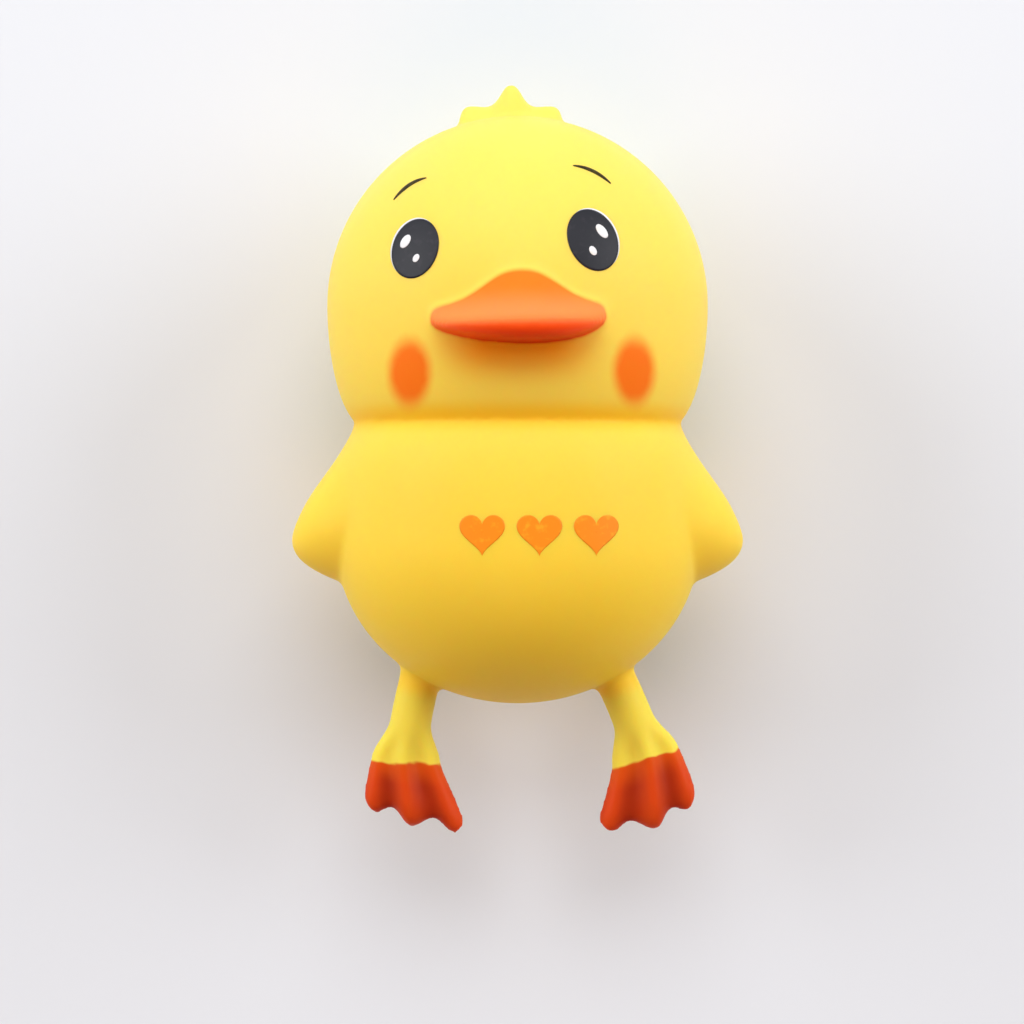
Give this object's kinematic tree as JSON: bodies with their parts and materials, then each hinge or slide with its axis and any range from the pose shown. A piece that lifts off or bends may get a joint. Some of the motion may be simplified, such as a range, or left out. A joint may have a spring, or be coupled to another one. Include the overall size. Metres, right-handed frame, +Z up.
{
  "type": "duck stress toy",
  "caption": "Soft squeeze duck moulded in one piece: round head with beak and crest, round body with stub wings, short legs and webbed feet, lying on its back.",
  "frame": {"origin": "middle of the toy's box, on the surface that its back rests on", "axes": "+X to the right of the face as the viewer sees it, +Y from the toes to the crest, +Z up out of the beak"},
  "size_m": [0.0782, 0.1298, 0.0671],
  "materials": {
    "skin": "satin moulded soft rubber, with orange sprayed beak, cheeks and feet, and printed eyes"
  },
  "bodies": {
    "root": {"duck_toy": "skin"}
  },
  "joints": []
}
